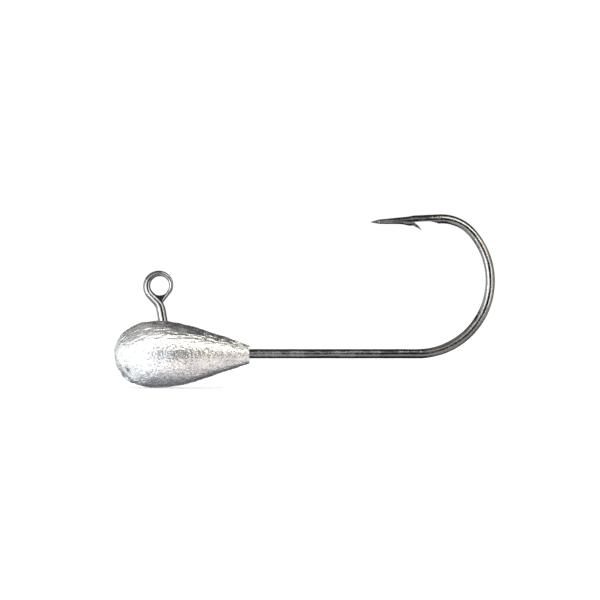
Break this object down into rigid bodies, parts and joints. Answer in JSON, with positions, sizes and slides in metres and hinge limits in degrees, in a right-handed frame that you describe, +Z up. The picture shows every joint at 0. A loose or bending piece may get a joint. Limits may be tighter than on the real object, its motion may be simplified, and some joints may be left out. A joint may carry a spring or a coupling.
{
  "type": "jig head",
  "caption": "Bare lead teardrop jig head cast on a long-shank round-bend hook, with an upright line eye and a barbed point.",
  "frame": {"origin": "centre of the line eye's hole", "axes": "+X from the lead's nose to the hook's bend, along the shank; +Z up, from the shank to the eye and the point; Y along the eye's hole"},
  "size_m": [0.0444, 0.0078, 0.0202],
  "materials": {
    "hook_wire": "black nickel plating over bright drawn wire, bright on the ground tip",
    "cast_lead": "bare cast lead, bright, dimpled and lightly dulled"
  },
  "bodies": {
    "root": {"hook": "hook_wire", "lead_head": "cast_lead"}
  },
  "joints": []
}
